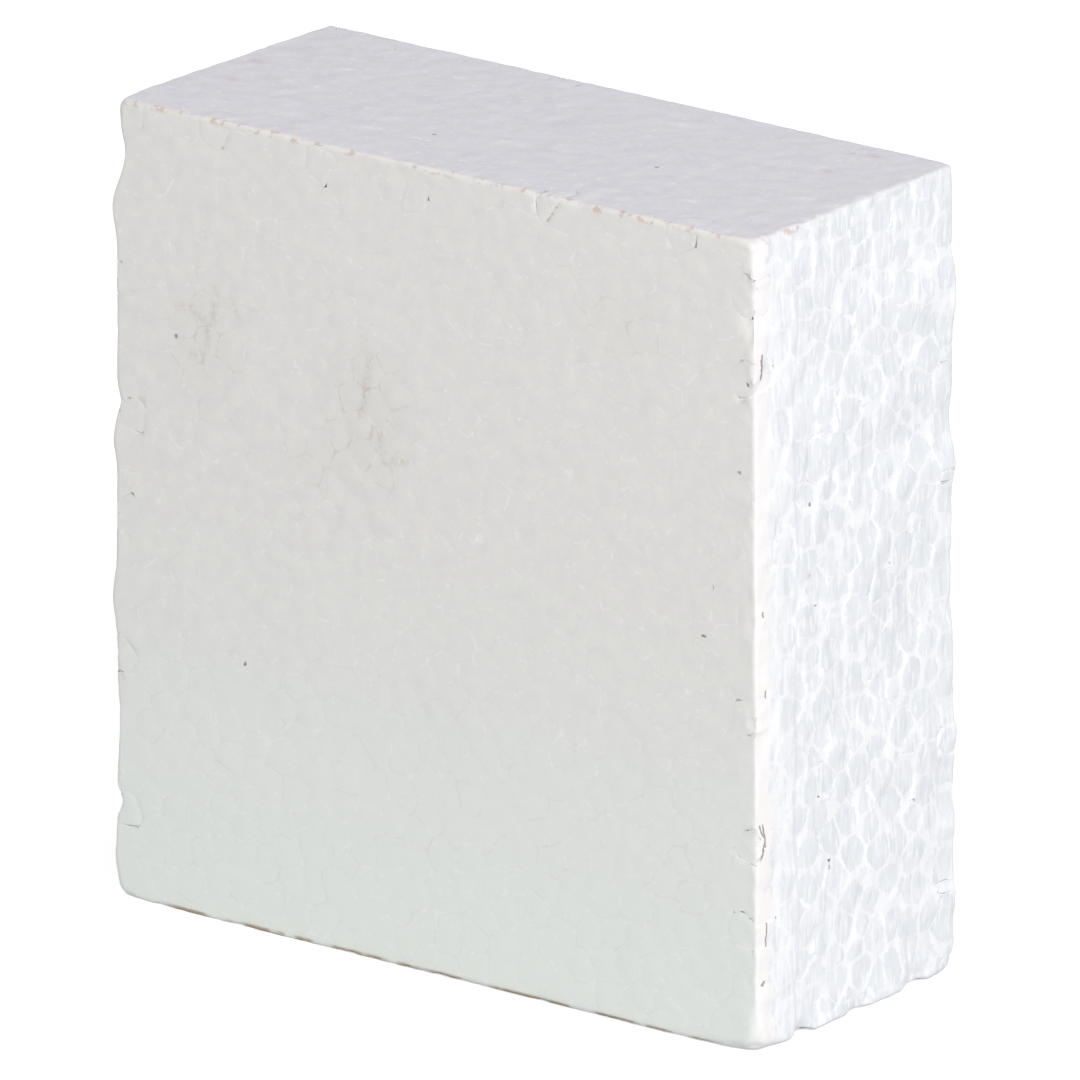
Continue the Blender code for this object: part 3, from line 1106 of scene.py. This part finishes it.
def addDirt(tree, colour, place, split, given, mottle, outlineMask):
    # brown in the seams, a line along the lower front edge, rubbed upper edges, stains
    # and light flecks
    x, y, z = split
    broken = product(tree, patches(tree, place, "clinging"), strengths["clinging"])
    clinging = maths(tree, "MULTIPLY_ADD", outlineMask, broken, strengths["haze"])
    stained = maths(tree, "MULTIPLY", given["Stain"], clinging, clamp=True)
    colour = tint(tree, colour, "stain", stained)
    patchy = patches(tree, place, "grime")
    reach = band(tree, maths(tree, "ABSOLUTE", x), "lowLineReach")
    lowLine = product(tree, band(tree, z, "lowLineHeight"), band(tree, y, "lowLineFront"))
    colour = tint(tree, colour, "grime", lowLine, reach, patchy, strengths["lowLine"])
    rim = product(tree, band(tree, z, "rimHeight"), band(tree, y, "rimFront"))
    crumbs = maths(tree, "MULTIPLY_ADD", patchy, *foamLooks["crumbShown"])
    colour = tint(tree, colour, "crumb", rim, crumbs)
    rightRim = product(tree, band(tree, z, "rightRimHeight"), band(tree, x, "rightRimSide"))
    rightRim = product(tree, rightRim, band(tree, y, "rightRimFront"))
    rims = maths(tree, "MAXIMUM", rim, rightRim)
    rubbed = patches(tree, place, "rubbed")
    colour = tint(tree, colour, "rubbed", rims, rubbed, strengths["rubbed"])
    faded = between(tree, mottle, *foamLooks["dirtMottle"])
    for socket, look in (("Stain Line", "stain"), ("Redness", "redMark"), ("Fleck", "topFleck")):
        colour = tint(tree, colour, look, given[socket], faded, strengths[socket])
    return colour


def addMarks(tree, colour, place, split, given):
    # dark fibres and specks on the front, the right side and the top
    x, y, z = split
    notFront = maths(tree, "ADD", given["Sawn Share"], given["Top Share"])
    onlyFront = maths(tree, "GREATER_THAN", 0.5, notFront)
    onlyFront = product(tree, onlyFront, maths(tree, "LESS_THAN", y, 0.0))
    onlyRight = product(tree, given["Sawn Share"], maths(tree, "GREATER_THAN", x, 0.0))
    upper = maths(tree, "GREATER_THAN", z, block["height"] / 2)
    onlyTop = product(tree, given["Top Share"], upper)
    stray = noise(tree, place, foamLooks["wanderSize"], output="Color")
    stray = vectorMaths(tree, "SUBTRACT", stray, (0.5, 0.5, 0.5))
    stray = vectorMaths(tree, "MULTIPLY", stray, (foamLooks["wander"],) * 3)
    wavering = vectorMaths(tree, "ADD", place, stray)
    for name, marks, kept, where, share in (
        ("frontMarks", frontMarks, (1.0, 0.0, 1.0), onFront, onlyFront),
        ("sideMarks", sideMarks, (0.0, 1.0, 1.0), onSide, onlyRight),
        ("topMarks", topMarks, (1.0, 1.0, 0.0), onTop, onlyTop),
    ):
        mask = drawMarks(tree, vectorMaths(tree, "MULTIPLY", wavering, kept), marks, where)
        colour = tint(tree, colour, "mark", mask, share, strengths[name])
    return colour


def makeFoamGroup():
    # the look that the block and the separate beads share
    group, given, gives = newGroup(
        "beadFoamLook",
        {"Vector": "vector", "Mean Roughness": "value", **dict.fromkeys(vertexValues, "value")},
        {"Colour": "colour", "Roughness": "value", "Height": "value"},
    )
    place = given["Vector"]
    split = addNode(group, "ShaderNodeSeparateXYZ")
    feed(group, split.inputs[0], place)
    x, y, z = split.outputs
    grain = placeGroup(group, grainGroup, {"Vector": place, "Cell Size": foamLooks["cellSize"]})
    mottle, cloud = grain["Mottle"], grain["Cloud"]
    tone = maths(group, "MULTIPLY_ADD", cloud, *foamLooks["cloudContrast"], clamp=True)
    beadTone = product(group, maths(group, "ADD", given["Tone"], tone), 0.5)
    seam = {name: given[name] for name in ("Vector", "Wall", "Corner", "Strong")}
    outlineMask, wallMask = (
        placeGroup(group, seamGroup, {**seam, **seamLooks[name]})["Mask"]
        for name in ("outline", "wall")
    )
    colour = skinColour(group, place, z, tone, outlineMask)
    sawn = sawnColour(group, place, y, given, beadTone, cloud, wallMask)
    colour = mixColours(group, given["Sawn Share"], colour, sawn)
    top = topColour(group, place, tone, mottle)
    colour = mixColours(group, given["Top Share"], colour, top)
    colour = addDirt(group, colour, place, (x, y, z), given, mottle, outlineMask)
    feed(group, gives["Colour"], addMarks(group, colour, place, (x, y, z), given))
    spread = maths(group, "MULTIPLY_ADD", mottle, *foamLooks["roughnessSpread"])
    roughness = maths(group, "ADD", given["Mean Roughness"], spread, clamp=True)
    feed(group, gives["Roughness"], roughness)
    feed(group, gives["Height"], grain["Height"])
    return group


foamGroup = makeFoamGroup()


def makeFoamMaterial(name, roughness):
    # the shared look on its own shader, fed with the vertex values
    material = bpy.data.materials.new(name)
    material.use_nodes = True
    tree = material.node_tree
    shader = tree.nodes["Principled BSDF"]
    place = addNode(tree, "ShaderNodeTexCoord").outputs["Object"]
    values = {"Vector": place, "Mean Roughness": roughness}
    for socket, attribute in vertexValues.items():
        read = addNode(tree, "ShaderNodeAttribute", attribute_name=attribute)
        values[socket] = read.outputs["Fac"]
    look = placeGroup(tree, foamGroup, values)
    feed(tree, shader.inputs["Base Color"], look["Colour"])
    feed(tree, shader.inputs["Roughness"], look["Roughness"])
    bump = addNode(tree, "ShaderNodeBump")
    feed(tree, bump.inputs["Strength"], foamLooks["bump"])
    feed(tree, bump.inputs["Distance"], foamLooks["bumpHeight"])
    feed(tree, bump.inputs["Height"], look["Height"])
    feed(tree, shader.inputs["Normal"], bump.outputs["Normal"])
    shader.inputs["Specular IOR Level"].default_value = foamLooks["specular"]
    return material


mouldedFoam = makeFoamMaterial("mouldedFoam", foamLooks["blockRoughness"])
looseBeadFoam = makeFoamMaterial("looseBeadFoam", foamLooks["beadRoughness"])

print("separate beads")
sockets = {}
for node, index in separateBeads.items():
    piece = makeSeparateBead(node + "_fine", index)
    piece.data.materials.append(looseBeadFoam)
    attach(piece, "root")
    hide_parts(node)

print("foam block: skin")
skinPiece = makeBlock("foam_block_skin")
skinPiece.data.materials.append(mouldedFoam)
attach(skinPiece, "root")
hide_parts("foam_block")

print("floor, lights and camera")
studio = {
    "floorRadius": 6.0,
    "floorColour": (0.80, 0.80, 0.80, 1.0),
    "floorGlow": 0.60,  # only for the camera, so that the floor reads as white paper
    "sky": 0.52,
    "azimuth": 38.11,
    "elevation": 17.73,
    "distance": 27.8,  # in block heights
    "lens": 780.5,
    "right": 0.005,
    "up": -0.0068,
    "keyPlace": (1.40, -0.95, 1.15),
    "keySize": 0.7,
    "keyPower": 24.0,
    "keyColour": (0.99, 0.995, 1.0),
    "skyColour": (0.985, 0.98, 1.0, 1.0),
}


def makeFloor():
    # a disc: the rim at radius (cos a, sin a) around the middle
    turn = np.linspace(0, 2 * np.pi, 96, endpoint=False)
    rim = np.stack([np.cos(turn), np.sin(turn), 0 * turn], axis=-1) * studio["floorRadius"]
    mesh = bpy.data.meshes.new("floor")
    mesh.from_pydata(rim.tolist(), [], [list(range(len(rim)))])
    floor = bpy.data.objects.new("floor", mesh)
    bpy.context.scene.collection.objects.link(floor)
    material = bpy.data.materials.new("paleFloor")
    material.use_nodes = True
    shader = material.node_tree.nodes["Principled BSDF"]
    shader.inputs["Base Color"].default_value = studio["floorColour"]
    shader.inputs["Roughness"].default_value = 0.9
    shader.inputs["Specular IOR Level"].default_value = 0.1
    shader.inputs["Emission Color"].default_value = (1, 1, 1, 1)
    seen = material.node_tree.nodes.new("ShaderNodeLightPath").outputs["Is Camera Ray"]
    glow = maths(material.node_tree, "MULTIPLY", seen, studio["floorGlow"])
    material.node_tree.links.new(glow, shader.inputs["Emission Strength"])
    mesh.materials.append(material)


def makeKeyLight():
    # a round soft light that faces the middle of the block
    light = bpy.data.lights.new("keyFromRight", "AREA")
    light.shape = "DISK"
    light.size = studio["keySize"]
    light.energy = studio["keyPower"]
    light.color = studio["keyColour"]
    holder = bpy.data.objects.new("keyFromRight", light)
    bpy.context.scene.collection.objects.link(holder)
    towards = Vector(studio["keyPlace"]) - Vector(blockMiddle)
    holder.location = studio["keyPlace"]
    holder.rotation_euler = towards.to_track_quat("Z", "Y").to_euler()


def makeCamera():
    # the camera stands at its azimuth and elevation about the block's middle, at its
    # distance, and is moved right and up by shares of the block's height
    azimuth, elevation = np.radians([studio["azimuth"], studio["elevation"]])
    level = np.cos(elevation)
    back = Vector((np.sin(azimuth) * level, -np.cos(azimuth) * level, np.sin(elevation)))
    right = Vector((np.cos(azimuth), np.sin(azimuth), 0))
    up = back.cross(right)
    height = float(block["height"])
    target = Vector(blockMiddle) + right * studio["right"] * height + up * studio["up"] * height
    lens = bpy.data.cameras.new("camera")
    lens.lens = studio["lens"]
    lens.sensor_width = 36
    lens.clip_start = 0.1
    camera = bpy.data.objects.new("camera", lens)
    bpy.context.scene.collection.objects.link(camera)
    turned = Matrix((right, up, back)).transposed().to_4x4()
    camera.matrix_world = Matrix.Translation(target + back * studio["distance"] * height) @ turned
    bpy.context.scene.camera = camera


makeFloor()
makeKeyLight()
world = bpy.data.worlds.new("studioAir")
bpy.context.scene.world = world
world.use_nodes = True
sky = world.node_tree.nodes["Background"]
sky.inputs["Color"].default_value = studio["skyColour"]
sky.inputs["Strength"].default_value = studio["sky"]
bpy.context.scene.view_settings.view_transform = "Standard"
makeCamera()
